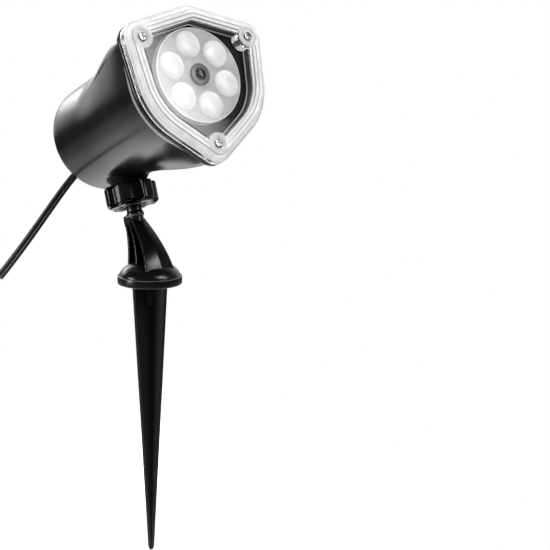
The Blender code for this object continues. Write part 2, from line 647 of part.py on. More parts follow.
def make_carrier(head):
    """An open wheel behind the lens wheel: it holds the hub pin, the motor and the pattern slide."""
    low, high = CARRIER_SPAN
    through = (low - MM, high + MM)
    place = motor_matrix()
    carrier = new_object("slide_carrier", rod(27.0 * MM, low, high, segments=30), head, BLACK)
    for direction in CARRIER_POSTS:
        lug = carrier_post_at(direction)
        arm = block((20 * MM, -2.3 * MM, low), (Vector(lug).length, 2.3 * MM, high))
        join(carrier, moved(arm, Matrix.Rotation(radians(direction), 4, "Z")), rod(2.4 * MM, low, high, lug, 12))
    join(carrier, moved(block((-14 * MM, -5.4 * MM, low), (4.2 * MM, 5.4 * MM, high)), place))
    join(carrier, rod(4.2 * MM, low, -6.8 * MM, segments=24))
    ring = [(25.3 * MM, low - 4 * MM), (25.3 * MM, low + MM), (26.8 * MM, low + MM), (26.8 * MM, low - 4 * MM)]
    join(carrier, revolve(ring, 24, closed=True))
    for start in (30, 150, 270):
        cut(carrier, prism(sector(7.0 * MM, 23.0 * MM, start + 8, start + 112), *through))
    cut(carrier, rod(SHAFT_R + GAP, low - MM, 0.0, segments=20))
    half_x, half_y = GEARBOX[0] / 2 + 0.4 * MM, GEARBOX[1] / 2 + 0.4 * MM
    cut(carrier, moved(block((-half_x, -half_y, low - 6 * MM), (half_x, half_y, low - GAP / 3)), place))
    cut(carrier, moved(rod(2.2 * MM, *through, segments=20), place))
    for y in (-MOTOR_SCREW_Y, MOTOR_SCREW_Y):
        cut(carrier, moved(rod(0.95 * MM, *through, (0.0, y), 10), place))
    for i, direction in enumerate(CARRIER_POSTS, 1):
        lug = carrier_post_at(direction)
        cut(carrier, rod(1.3 * MM, *through, lug, 12))
        screw(f"carrier_screw_{i}", head, (*lug, high + 0.1 * MM), (2.2 * MM, 1.3 * MM, 1.0 * MM), 9 * MM)


# ---------------------------------------------------------------- light source and electronics

def make_optics(head):
    """Pattern slide, condenser and light source, from the front to the heat sink's fins."""
    slide_front = CARRIER_SPAN[0] - GAP
    slide_back = slide_front - MM
    slide = [(2.4 * MM, slide_back), (SLIDE_R, slide_back), (SLIDE_R, slide_front), (2.4 * MM, slide_front)]
    new_object("pattern_slide", revolve(slide, 30, closed=True), head, FILM)
    outside = [(24.9, -15.8), (24.9, -24.0), (19.2, -31.0), (19.2, -36.5), (9.6, -54.0), (9.6, -55.5)]
    flange = [(15.0, -55.5), (15.0, -57.4), (7.6, -57.4)]
    inside = [(7.6, -54.0), (15.6, -38.2), (15.6, -36.6), (17.4, -36.6), (17.4, -29.0), (23.2, -23.0), (23.2, -15.8)]
    shroud = new_object("light_shroud", revolve(mm(outside + flange + inside), 26, closed=True), head, BLACK)
    bulge = [(17.0 * x, 6.0 * y - 33.0) for x, y in arc(1.0, 0, 60, 2)]
    condenser = revolve(mm([(0.0, -36.2), (17.0, -36.2), *bulge, (0.0, -27.0)]), 24)
    new_object("condenser_lens", condenser, head, CLEAR)
    dome = [(r, z - 56.4) for r, z in arc(2.6, 0, 60, 2)]
    chip = revolve(mm([(0.0, -57.6), (3.5, -57.6), (3.5, -56.6), (2.6, -56.6), *dome, (0.0, -53.8)]), 14)
    new_object("led_chip", chip, head, PHOSPHOR)
    new_object("led_board", rod(10.0 * MM, -59.5 * MM, -57.9 * MM, segments=24), head, BOARD_WHITE)
    sink = new_object("heat_sink", rod(16.0 * MM, -76.0 * MM, -59.8 * MM, segments=28), head, ALUMINIUM)
    for i in range(SINK_SLOTS):
        x = (i - (SINK_SLOTS - 1) / 2) * 4.2 * MM
        cut(sink, block((x - 1.4 * MM, -20 * MM, -80 * MM), (x + 1.4 * MM, 20 * MM, -63 * MM)))
    for i, direction in enumerate((0, 180), 1):
        centre = polar(12.6 * MM, direction)
        cut(shroud, rod(1.5 * MM, -60 * MM, -50 * MM, centre, 12))
        cut(sink, rod(1.5 * MM, -62.6 * MM, -58 * MM, centre, 12))
        screw(f"sink_screw_{i}", head, (*centre, -55.2 * MM), (2.2 * MM, 1.3 * MM, 1.2 * MM), 7.2 * MM)


def make_electronics(head):
    """The driver board hangs under two posts at the back, with its parts on its underside."""
    upright = Matrix.Rotation(-pi / 2, 4, "X")
    board = block((-19 * MM, BOARD_HEIGHT, -107 * MM), (19 * MM, BOARD_HEIGHT + BOARD_THICKNESS, -80 * MM))
    board = new_object("driver_board", board, head, BOARD_GREEN)
    under = BOARD_HEIGHT - GAP
    transformer = block((-13 * MM, under - 11 * MM, -93 * MM), (MM, under, -82 * MM))
    new_object("driver_transformer", transformer, head, GLOSS_BLACK)
    capacitor = moved(rod(4 * MM, under - 13 * MM, under, (8 * MM, 88 * MM), 16), upright)
    new_object("driver_capacitor", capacitor, head, GLOSS_BLACK)
    terminal = block((-5 * MM, under - 7 * MM, -106 * MM), (5 * MM, under, -99 * MM))
    new_object("cord_terminal", terminal, head, BOARD_WHITE)
    x, back = BOARD_SCREW
    for i, side in enumerate((-1, 1), 1):
        cut(board, moved(rod(1.4 * MM, 5 * MM, 20 * MM, (side * x, back), 12), upright))
        from_below = new_frame(f"board_screw_axis_{i}", (side * x, BOARD_HEIGHT - 0.1 * MM, -back), pi / 2)
        from_below.parent = head
        screw(f"board_screw_{i}", from_below, (0.0, 0.0, 0.0), (2.2 * MM, 1.3 * MM, MM), 7 * MM)


# ---------------------------------------------------------------- cord and leads

def make_cord(head):
    """The twin-core cord, from inside its grommet to where it is cut."""
    centre = (0.0, CABLE_HEIGHT)
    grommet = [(0.0, -109.0), (3.9, -109.0), (3.9, -114.3), (6.4, -114.3), (6.4, -116.0), (4.6, -117.0)]
    grommet += [(3.6, -124.0), (0.0, -124.0)]
    grommet = new_object("cord_grommet", revolve(mm(grommet), 16, centre), head, RUBBER)
    cut(grommet, rod(CORD_HALF_WIDTH + GAP, -128 * MM, -100 * MM, centre, 14))
    inside, outside = (head.matrix_basis @ Vector((*centre, z * MM)) for z in (-101, -125))
    backwards = (outside - inside).normalized()
    steer = [Vector(point) * MM for point in CORD_STEER]
    path = [inside] + bezier([outside, outside + backwards * CORD_STRAIGHT, *steer], 11)
    lobe = arc(CORD_LOBE_R, 120, -120, 6, (CORD_HALF_WIDTH - CORD_LOBE_R, 0.0))
    section = lobe + [(-u, -v) for u, v in lobe]
    new_object("power_cord", sweep(path, section), None, RUBBER)


def make_leads(head):
    """Single wires from the driver board to the light source and to the motor."""
    routes = {
        "led_lead": ((0, 11.2, -58.6), (0, 20, -58.6), (0, 30, -57), (3, 26, -86), (4, 14.8, -90)),
        "motor_lead": ((29, 7.8, -34), (28, 8, -50), (24, 14, -68), (16, 17, -84), (12, 14.6, -86)),
    }
    for name, points in routes.items():
        path = bezier([Vector(point) * MM for point in points], 7)
        wire = sweep(path, arc(0.7 * MM, 0, 300, 5), side=Vector((0.0, 0.0, 1.0)))
        new_object(name, wire, head, WIRE_RED)


def main():
    for obj in list(bpy.data.objects):
        bpy.data.objects.remove(obj, do_unlink=True)
    head = new_frame("head_frame", HEAD_AT, pi / 2 - HEAD_PITCH)
    bpy.context.view_layer.update()
    ball_at = head.matrix_basis @ Vector((0.0, -BALL_DROP, -BALL_BACK))
    ball_frame = new_frame("ball_frame", ball_at, -HEAD_PITCH)
    make_stake()
    make_arm(ball_frame)
    make_liners(ball_frame)
    make_nut(ball_frame)
    make_housing(head, ball_frame)
    make_cover(head)
    make_gasket(head)
    make_bezel(head)
    make_wheel(head)
    make_drive(head)
    make_carrier(head)
    make_optics(head)
    make_electronics(head)
    make_cord(head)
    make_leads(head)


main()
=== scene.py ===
import json
from math import atan2, cos, pi, radians, sin, tau

import bmesh
import bpy
import numpy as np
from mathutils import Matrix, Vector


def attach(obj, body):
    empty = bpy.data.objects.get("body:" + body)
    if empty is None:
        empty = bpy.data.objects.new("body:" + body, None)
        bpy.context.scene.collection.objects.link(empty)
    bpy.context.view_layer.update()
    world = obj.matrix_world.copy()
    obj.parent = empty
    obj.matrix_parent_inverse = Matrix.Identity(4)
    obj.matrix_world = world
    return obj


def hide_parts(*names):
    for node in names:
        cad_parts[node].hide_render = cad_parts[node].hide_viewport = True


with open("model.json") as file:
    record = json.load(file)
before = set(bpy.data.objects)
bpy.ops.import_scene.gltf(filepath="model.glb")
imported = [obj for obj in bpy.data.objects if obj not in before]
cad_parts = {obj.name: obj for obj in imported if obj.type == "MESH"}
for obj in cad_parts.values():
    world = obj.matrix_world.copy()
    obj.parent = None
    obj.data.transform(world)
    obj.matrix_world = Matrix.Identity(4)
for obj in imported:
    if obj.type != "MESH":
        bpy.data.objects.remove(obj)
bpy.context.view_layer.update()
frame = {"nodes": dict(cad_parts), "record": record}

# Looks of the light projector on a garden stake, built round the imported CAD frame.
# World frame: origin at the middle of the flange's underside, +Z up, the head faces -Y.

MM = 0.001

# Frames: the head's z runs along the optical axis, the ball's z along its stud.  Outlines and
# profiles below are written in millimetres, the frames, the lights and the camera in metres.
HEAD_PITCH = radians(20.6)
HEAD_AT = Vector((0.0, -48.9, 120.3)) * MM
BALL_IN_HEAD = Vector((0.0, -42.0, -89.0)) * MM
HEAD = Matrix.Translation(HEAD_AT) @ Matrix.Rotation(pi / 2 - HEAD_PITCH, 4, "X")
BALL = Matrix.Translation(HEAD @ BALL_IN_HEAD) @ Matrix.Rotation(-HEAD_PITCH, 4, "X")
WORLD = Matrix.Identity(4)

# Outline of the cover and of the housing's mouth, as in the CAD: arcs by distance and radius
SCREW_DIRECTIONS = (30, 150, 270)
CORNER_ARC = (39.3, 9.1)
TOP_ARC = (27.2, 10.6)
SIDE_ARC = (3.1, 37.7)
COUNT = 240  # points round the outline

# Housing; its lip, posts and back are places behind the lens wheel
LIP_FRONT = 2.9
LIP_BACK = 5.1
LIP_STEP = 2.5  # how far the lip stands out from the body at the corners
TAPER_LENGTH = 76.0
REAR_R = 32.45
REAR_DROP = 1.0
REAR_ROUND = 6.0
HOUSING_BACK = 114.0
WALL = 2.2
POST_BACK = 11.9
CORD_HEIGHT = -16.0
CORD_HOLE_R = 4.3

# Cover screws
SCREW_CIRCLE_R = 38.75
BOSS_R = 6.0
SHANK_HOLE_R = 1.8

# Lens wheel
WHEEL_R = 26.05
WHEEL_BORE_R = 1.58
LENS_COUNT = 6
LENS_R = 7.5
LENS_RISE = 1.8
LENS_CIRCLE_R = 17.1
LENS_PHASE = 101.7  # direction of one lens, in degrees

# Ball joint, flange and stake
BALL_R = 7.5
CUP_R = 9.35
FLANGE_R = 18.84
DOME_R = 17.9
STAKE_LENGTH = 166.0
STAKE_TURN = 12.5  # degrees


# ---------------------------------------------------------------- mesh building

def skin(rings, closed=False):
    """A bmesh over a stack of rings; a ring of one point makes a pole, and open stacks are capped."""
    bm = bmesh.new()
    rows = [[bm.verts.new(point) for point in ring] for ring in rings]
    for low, high in zip(rows, rows[1:] + (rows[:1] if closed else [])):
        count = max(len(low), len(high))
        for i in range(count):
            j = (i + 1) % count
            corners = [low[i % len(low)], low[j % len(low)], high[j % len(high)], high[i % len(high)]]
            bm.faces.new(list(dict.fromkeys(corners)))
    if not closed:
        for end in (rows[0], rows[-1]):
            if len(end) > 2:
                bm.faces.new(end)
    bmesh.ops.recalc_face_normals(bm, faces=bm.faces)
    return bm


def polar(radius, direction):
    return (radius * cos(radians(direction)), radius * sin(radians(direction)))


def arc(radius, start, end, steps, centre=(0.0, 0.0)):
    points = [polar(radius, a) for a in np.linspace(start, end, steps + 1)]
    return [(centre[0] + x, centre[1] + y) for x, y in points]


def filleted(points, radius, closed=False, steps=4):
    """Round the corners of a line of 2-D points."""
    points = [Vector(point) for point in points]
    last = len(points) - 1
    result = []
    for i, corner in enumerate(points):
        if not closed and i in (0, last):
            result.append(corner)
            continue
        before, after = points[i - 1] - corner, points[(i + 1) % len(points)] - corner
        share = min(radius, 0.45 * before.length, 0.45 * after.length)
        if before.angle(after, pi) > radians(172) or share <= 0:
            result.append(corner)
            continue
        start, end = corner + before.normalized() * share, corner + after.normalized() * share
        for t in np.linspace(0.0, 1.0, steps + 1):
            result.append(start.lerp(corner, t).lerp(corner.lerp(end, t), t))
    return [tuple(point) for point in result]


def revolve(profile, segments=96, centre=(0.0, 0.0), closed=False):
    """Turn (radius, height) points, in millimetres, about an axis along z."""
    rings = []
    for r, z in profile:
        angles = [tau * i / segments for i in range(segments)] if r > 0 else [0.0]
        rings.append([Vector((centre[0] + r * cos(a), centre[1] + r * sin(a), z)) for a in angles])
    return scaled(skin(rings, closed))


def prism(outline, low, high):
    return scaled(skin([[Vector((x, y, z)) for x, y in outline] for z in (low, high)]))


def block(low, high):
    (x0, y0, z0), (x1, y1, z1) = low, high
    return prism([(x0, y0), (x1, y0), (x1, y1), (x0, y1)], z0, z1)


def scaled(bm):
    """From millimetres to metres."""
    bmesh.ops.scale(bm, vec=(MM, MM, MM), verts=bm.verts)
    return bm


def moved(bm, matrix):
    bmesh.ops.transform(bm, matrix=matrix, verts=bm.verts)
    return bm


def bezier(points, steps):
    rows = []
    for t in np.linspace(0.0, 1.0, steps + 1):
        row = [Vector(point) for point in points]
        while len(row) > 1:
            row = [a.lerp(b, t) for a, b in zip(row, row[1:])]
        rows.append(row[0])
    return rows


def to_object(name, bm):
    mesh = bpy.data.meshes.new(name)
    bm.to_mesh(mesh)
    bm.free()
    obj = bpy.data.objects.new(name, mesh)
    bpy.context.scene.collection.objects.link(obj)
    return obj


def combined(name, bm, steps=()):
    """One closed mesh: bm with shapes joined on or cut away in turn, exactly."""
    obj = to_object(name, bm)
    for operation, shape in steps:
        tool = to_object("tool", shape)
        modifier = obj.modifiers.new(operation, "BOOLEAN")
        modifier.operation = operation
        modifier.object = tool
        graph = bpy.context.evaluated_depsgraph_get()
        mesh = bpy.data.meshes.new_from_object(obj.evaluated_get(graph))
        obj.modifiers.clear()
        old = obj.data
        obj.data = mesh
        bpy.data.meshes.remove(old)
        bpy.data.objects.remove(tool)
    obj.data.materials.clear()
    return obj


def piece(obj, body, nodes, materials, matrix=WORLD, smooth=32):
    """Put a piece in place, shade it, and let it stand for its CAD node."""
    mesh = obj.data
    mesh.transform(matrix)
    mesh.shade_smooth()
    mesh.set_sharp_from_angle(angle=radians(smooth))
    for material in materials:
        mesh.materials.append(material)
    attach(obj, body)
    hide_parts(*nodes)
    return obj


def paint(obj, index, inside):
    """Give a material slot to the faces whose middle passes the test."""
    for face in obj.data.polygons:
        if inside(face.center):
            face.material_index = index


# ---------------------------------------------------------------- the outline of the cover and housing

def outline_angles():
    return [tau * i / COUNT for i in range(COUNT)]


def outline_radii(inset=0.0, corner_trim=0.0, side_trim=0.0):
    """Distance from the axis to the outline's edge in each direction, in millimetres."""
    arcs = [(d, CORNER_ARC[0], CORNER_ARC[1] - corner_trim) for d in SCREW_DIRECTIONS]
    arcs += [(90, TOP_ARC[0], TOP_ARC[1] - corner_trim)]
    arcs += [(d, SIDE_ARC[0], SIDE_ARC[1] - side_trim) for d in (210, 330)]
    normals = np.radians(np.arange(0.0, 360.0, 0.2))
    distance = np.max([dist * np.cos(normals - radians(d)) + r for d, dist, r in arcs], axis=0)
    radii = []
    for direction in outline_angles():
        facing = np.cos(normals - direction)
        ahead = facing > 0.3
        radii.append(float(np.min((distance[ahead] - inset) / facing[ahead])))
    return np.array(radii)


def outline_ring(radii, z, drop=0.0):
    return [Vector((r * cos(a), r * sin(a) - drop, z)) for r, a in zip(radii, outline_angles())]


def inset_ring(inset, z):
    return outline_ring(outline_radii(inset), z)


def taper(s):
    """0 where the housing has the cover's outline, 1 where it is round, s behind the lens wheel."""
    u = min(max((s - LIP_BACK) / TAPER_LENGTH, 0.0), 1.0)
    return u * u * (3 - 2 * u)


def housing_ring(s, inset):
    body = outline_radii(0.0, corner_trim=LIP_STEP, side_trim=0.15)
    t = taper(s)
    return outline_ring((1 - t) * body + t * REAR_R - inset, -s, REAR_DROP * t)


def corner_places():
    return [polar(SCREW_CIRCLE_R, direction) for direction in SCREW_DIRECTIONS]


def outline_index(place):
    """The outline's point that lies in the direction of a place."""
    return int(round(atan2(place.y, place.x) % tau / tau * COUNT)) % COUNT


# ---------------------------------------------------------------- materials

def new_material(name):
    material = bpy.data.materials.new(name)
    material.use_nodes = True
    return material, material.node_tree.nodes, material.node_tree.links


def noise(nodes, links, scale, detail=3.0, stretch=None):
    """A noise over the object's own coordinates, which stretch scales along each axis."""
    coordinates = nodes.new("ShaderNodeTexCoord")
    texture = nodes.new("ShaderNodeTexNoise")
    texture.inputs["Scale"].default_value = scale
    texture.inputs["Detail"].default_value = detail
    texture.inputs["Roughness"].default_value = 0.5
    if stretch:
        mapping = nodes.new("ShaderNodeMapping")
        mapping.inputs["Scale"].default_value = stretch
        links.new(coordinates.outputs["Object"], mapping.inputs["Vector"])
        links.new(mapping.outputs["Vector"], texture.inputs["Vector"])
    else:
        links.new(coordinates.outputs["Object"], texture.inputs["Vector"])
    return texture.outputs["Fac"]


def ramp(nodes, links, source, low, high):
    """Spread the middle of a noise between two colours."""
    colours = nodes.new("ShaderNodeValToRGB")
    first, second = colours.color_ramp.elements
    first.position, second.position = 0.34, 0.66
    first.color, second.color = (*low, 1.0), (*high, 1.0)
    links.new(source, colours.inputs["Fac"])
    return colours.outputs["Color"]


def spread(nodes, links, source, low, high):
    """Spread the middle of a noise between two values."""
    values = nodes.new("ShaderNodeMapRange")
    values.inputs["From Min"].default_value = 0.3
    values.inputs["From Max"].default_value = 0.7
    values.inputs["To Min"].default_value = low
    values.inputs["To Max"].default_value = high
    links.new(source, values.inputs["Value"])
    return values.outputs["Result"]


def moulded(
    name, low, high, roughness, specular=0.5, coarse=60.0, grain=2600.0, relief=0.00002, metallic=0.0,
    stretch=None, glow=0.0, **extra,
):
    """A material with mottled colour, uneven roughness and a fine bump.

    low and high are the mottle's two colours and roughness its two roughnesses.  coarse and grain
    are the scales of the mottle and of the bump, relief is the bump's depth in metres, and glow is
    the strength of a white emission, which paints light on parts that are no lamps.
    """
    material, nodes, links = new_material(name)
    shader = nodes["Principled BSDF"]
    mottle = noise(nodes, links, coarse, stretch=stretch)
    fine = noise(nodes, links, grain, 2.0, stretch=stretch)
    links.new(ramp(nodes, links, mottle, low, high), shader.inputs["Base Color"])
    links.new(spread(nodes, links, mottle, *roughness), shader.inputs["Roughness"])
    bump = nodes.new("ShaderNodeBump")
    bump.inputs["Strength"].default_value = 1.0
    bump.inputs["Distance"].default_value = relief
    links.new(fine, bump.inputs["Height"])
    links.new(bump.outputs["Normal"], shader.inputs["Normal"])
    shader.inputs["Specular IOR Level"].default_value = specular
    shader.inputs["Metallic"].default_value = metallic
    if glow:
        shader.inputs["Emission Color"].default_value = (1.0, 1.0, 1.0, 1.0)
        shader.inputs["Emission Strength"].default_value = glow
    for socket, value in extra.items():
        shader.inputs[socket.replace("_", " ")].default_value = value
    return material


def lets_light_in(material):
    """Clear plastic that lamps shine through: shadow rays pass as if it were thin."""
    nodes, links = material.node_tree.nodes, material.node_tree.links
    path = nodes.new("ShaderNodeLightPath")
    through = nodes.new("ShaderNodeBsdfTransparent")
    mix = nodes.new("ShaderNodeMixShader")
    links.new(path.outputs["Is Shadow Ray"], mix.inputs["Fac"])
    links.new(nodes["Principled BSDF"].outputs["BSDF"], mix.inputs[1])
    links.new(through.outputs["BSDF"], mix.inputs[2])
    links.new(mix.outputs["Shader"], nodes["Material Output"].inputs["Surface"])
    return material


def grey(value):
    return (value, value, value)


def make_materials():
    return {
        "black_plastic": moulded(
            "moulded_black", (0.0060, 0.0060, 0.0066), (0.0095, 0.0095, 0.0105), (0.17, 0.23),
        ),
        "stake_plastic": moulded(
            "stake_black", (0.006, 0.0055, 0.0055), (0.012, 0.0108, 0.0105), (0.42, 0.55), 0.16,
            relief=0.00003, stretch=(1.0, 1.0, 0.15),
        ),
        "arm_plastic": moulded(
            "arm_black", (0.005, 0.005, 0.0052), (0.009, 0.009, 0.0092), (0.20, 0.28), relief=0.00001,
        ),
        # Painted shade: the collar, one piece with the housing, gets a darker and duller black
        "collar_painted_shade": moulded("collar_shade_black", grey(0.004), grey(0.006), (0.45, 0.55), 0.12),
        "nut_plastic": moulded(
            "nut_black", (0.005, 0.0048, 0.005), (0.010, 0.0095, 0.010), (0.16, 0.22), relief=0.000008,
        ),
        "bezel_plastic": moulded("bezel_black", grey(0.010), grey(0.016), (0.50, 0.60), 0.12),
        # Painted light: the bezel's upper wall in a lighter grey than the same black below
        "bezel_painted_light": moulded("bezel_painted_light", grey(0.05), grey(0.08), (0.50, 0.60), 0.12),
        "clear_plastic": lets_light_in(moulded(
            "clear_window", grey(0.97), grey(0.99), (0.01, 0.04), relief=0.000002,
            Transmission_Weight=1.0, IOR=1.47,
        )),
        # Painted light: the clear rim is coloured white and glows, for the light carried through it
        "rim_painted_white_glow": lets_light_in(moulded(
            "clear_rim_painted_glow", grey(0.78), grey(0.97), (0.08, 0.18), coarse=170.0, relief=0.00001, glow=0.22,
            Transmission_Weight=0.35, IOR=1.47,
        )),
        # Painted highlight: a pale, faintly glowing line on the black housing just behind its lip
        "lip_painted_highlight": moulded("lip_painted_highlight", grey(0.22), grey(0.32), (0.20, 0.30), coarse=200.0, glow=0.12),
        # Painted highlight: pale grey on the arm's neck ring and the flange's upper edge
        "painted_highlight_ring": moulded("painted_highlight_ring", grey(0.11), grey(0.17), (0.25, 0.35)),
        # Painted shade and highlight: grey lines in the cover rim's grooves, and a pale glowing line under
        # the bezel's step
        "groove_shade_edge_highlight": moulded("groove_shade_edge_highlight", grey(0.46), grey(0.56), (0.15, 0.25), glow=0.12),
        # Painted light: the lens wheel's disc, lenses and edge glow, for the LED shining through them
        "wheel_painted_glow": moulded("wheel_disc_painted_glow", grey(0.38), grey(0.50), (0.18, 0.30), coarse=90.0, glow=0.10),
        "lens_glow": moulded("lens_glow", grey(0.64), grey(0.76), (0.10, 0.18), coarse=150.0, glow=0.25),
        "wheel_edge_painted_glow": moulded("wheel_edge_painted_glow", grey(0.86), grey(0.95), (0.10, 0.18), glow=0.6),
        "smoke_plastic": moulded("hub_smoke", grey(0.13), grey(0.20), (0.12, 0.20), Alpha=0.92),
        "dark_steel": moulded(
            "dark_steel", grey(0.10), grey(0.16), (0.10, 0.16), metallic=1.0, relief=0.000002,
        ),
        "white_plastic": moulded("acetal_white", (0.74, 0.74, 0.71), (0.84, 0.84, 0.82), (0.38, 0.50)),
        "black_rubber": moulded(
            "cord_black", (0.026, 0.026, 0.027), (0.040, 0.040, 0.041), (0.26, 0.34), relief=0.000005,
        ),
        "zinc_steel": moulded(
            "zinc_steel", grey(0.42), grey(0.60), (0.22, 0.36), coarse=400.0, metallic=1.0,
        ),
        "aluminium": moulded(
            "aluminium", (0.66, 0.67, 0.68), (0.78, 0.79, 0.80), (0.34, 0.46), metallic=1.0,
            stretch=(1.0, 1.0, 8.0),
        ),
        "brass": moulded("brass", (0.66, 0.46, 0.20), (0.78, 0.58, 0.30), (0.26, 0.38), metallic=1.0),
        "green_board": moulded("board_green", (0.02, 0.16, 0.07), (0.04, 0.26, 0.12), (0.40, 0.55)),
        "white_board": moulded("board_white", grey(0.78), grey(0.88), (0.40, 0.55)),
        "led_phosphor": moulded("led_phosphor", (0.82, 0.66, 0.18), (0.95, 0.80, 0.30), (0.35, 0.45)),
        "black_component": moulded("component_black", grey(0.015), grey(0.03), (0.35, 0.50)),
        "red_insulation": moulded("insulation_red", (0.40, 0.03, 0.02), (0.55, 0.05, 0.04), (0.40, 0.50)),
        "slide_film": slide_material(),
    }


def slide_material():
    """A clear slide with plain round and square spots."""
    material, nodes, links = new_material("slide_film")
    shader = nodes["Principled BSDF"]
    coordinates = nodes.new("ShaderNodeTexCoord")
    cells = nodes.new("ShaderNodeTexVoronoi")
    cells.inputs["Scale"].default_value = 130.0
    cells.inputs["Randomness"].default_value = 0.2
    links.new(coordinates.outputs["Object"], cells.inputs["Vector"])
    spots = nodes.new("ShaderNodeValToRGB")
    first, second = spots.color_ramp.elements
    first.position, second.position = 0.30, 0.34
    first.color, second.color = (0.75, 0.85, 0.95, 1.0), (0.02, 0.03, 0.05, 1.0)
    links.new(cells.outputs["Distance"], spots.inputs["Fac"])
    links.new(spots.outputs["Color"], shader.inputs["Base Color"])
    fine = noise(nodes, links, 900.0)
    links.new(spread(nodes, links, fine, 0.15, 0.3), shader.inputs["Roughness"])
    bump = nodes.new("ShaderNodeBump")
    bump.inputs["Distance"].default_value = 0.00001
    links.new(fine, bump.inputs["Height"])
    links.new(bump.outputs["Normal"], shader.inputs["Normal"])
    return material


# ---------------------------------------------------------------- housing

GROOVE_DIRECTIONS = (154.5, 25.5)
GROOVE_START, GROOVE_LENGTH = 24.0, 30.0  # from the lens wheel backwards
# back edge of the painted highlight behind the lip
LIP_HIGHLIGHT_BACK = 7.0
# the collar's painted shade reaches out to this radius
COLLAR_SHADE_R = 13.0  # inside this the collar is seen, outside it the body


def groove(direction):
    """A slit along the flank of a corner ridge, deepest and widest in the middle."""
    i = round(direction / 360 * COUNT)
    angle = tau * i / COUNT
    out, across = Vector((cos(angle), sin(angle), 0.0)), Vector((-sin(angle), cos(angle), 0.0))
    sections = []
    for t in np.linspace(0.0, 1.0, 9):
        middle = housing_ring(GROOVE_START + GROOVE_LENGTH * t, 0.0)[i]
        half = 0.15 + 0.65 * sin(pi * t)
        corners = ((half, 1.0), (-half, 1.0), (-0.7 * half, -1.2 * half), (0.7 * half, -1.2 * half))
        sections.append([middle + across * u + out * v for u, v in corners])
    return scaled(skin(sections))


def housing_shell():
    """The housing's rings, from its inner rear wall out over the mouth and round to the back."""
    def rear(radius, s):
        return outline_ring(np.full(COUNT, radius), -s, REAR_DROP)

    rings = [rear(r, s) for r, s in ((12.0, 111.0), (28.0, 111.0), (29.5, 110.2), (30.2, 108.5))]
    rings += [housing_ring(s, WALL) for s in (94, 80, 64, 50, 40, 28, 16, LIP_BACK + WALL)]
    lip = [(2.4, -5.3), (2.4, -3.2), (2.1, -LIP_FRONT), (0.35, -LIP_FRONT), (0.1, -3.0), (0.0, -3.25)]
    lip += [(0.0, -4.75), (0.1, -5.0), (0.35, -LIP_BACK)]
    rings += [inset_ring(inset, z) for inset, z in lip]
    rings += [housing_ring(s, 0.0) for s in [5.35, 6.0, LIP_HIGHLIGHT_BACK, *range(8, 82, 3), 86, 92, 98, 104]]
    back = arc(REAR_ROUND, 0, 90, 8, (REAR_R - REAR_ROUND, HOUSING_BACK - REAR_ROUND))
    return rings + [rear(r, s) for r, s in back] + [rear(14.0, HOUSING_BACK)]


def make_housing(materials):
    """The tapered black body: a thin lip at the mouth, a rounded rear and the collar over the ball."""
    into_head = HEAD.inverted() @ BALL
    collar = filleted([(0, 12.5), (13.2, 12.5), (13.2, 11.2), (11.8, 9.2), (10.9, 7.8), (10.5, 6.4)], 0.8)
    collar += filleted([(10.5, 6.4), (10.5, -2.2), (8.0, -2.2)], 0.35)[1:] + [(0, -2.2)]
    cup = [(0.0, -3.0), (CUP_R, -3.0)] + arc(CUP_R, 0, 84, 14) + [(0.0, CUP_R)]
    steps = []
    for x, y in corner_places():
        steps.append(("UNION", revolve([(4.6, -POST_BACK), (4.6, -LIP_FRONT)], 40, (x, y))))
        rib = block((SCREW_CIRCLE_R, -1.5, -POST_BACK), (44.6, 1.5, -3.2))
        steps.append(("UNION", moved(rib, Matrix.Rotation(atan2(y, x), 4, "Z"))))
    steps.append(("UNION", moved(revolve(collar, 96), into_head)))
    shank_hole = [(SHANK_HOLE_R, 1.0 - POST_BACK), (SHANK_HOLE_R, 0.0)]
    steps += [("DIFFERENCE", revolve(shank_hole, 24, place)) for place in corner_places()]
    steps += [("DIFFERENCE", groove(direction)) for direction in GROOVE_DIRECTIONS]
    cord_hole = [(CORD_HOLE_R, -HOUSING_BACK - 2.0), (CORD_HOLE_R, -109.0)]
    steps.append(("DIFFERENCE", revolve(cord_hole, 40, (0.0, CORD_HEIGHT))))
    steps.append(("DIFFERENCE", moved(revolve(cup, 72), into_head)))
    housing = combined("housing_shell", scaled(skin(housing_shell())), steps)
    from_head = into_head.inverted()

    def on_collar_shade(centre):
        place = from_head @ centre
        return place.z < 11.5 * MM and place.xy.length < COLLAR_SHADE_R * MM

    def on_lip_highlight(centre):
        """The pale line just behind the lip."""
        return -LIP_HIGHLIGHT_BACK * MM < centre.z < -LIP_BACK * MM and centre.xy.length > 30 * MM

    # Painted shade: the collar's faces get the darker, duller black
    paint(housing, 1, on_collar_shade)
    # Painted highlight: the faces just behind the lip get a pale, glowing grey
    paint(housing, 2, on_lip_highlight)
    looks = [materials[key] for key in ("black_plastic", "collar_painted_shade", "lip_painted_highlight")]
    piece(housing, "head", ["rear_housing"], looks, HEAD)


# ---------------------------------------------------------------- cover

def near_boss(centre):
    """Whether a point of the head is on one of the cover's screw bosses."""
    return any((centre.xy - Vector(place) * MM).length < (BOSS_R + 0.05) * MM for place in corner_places())


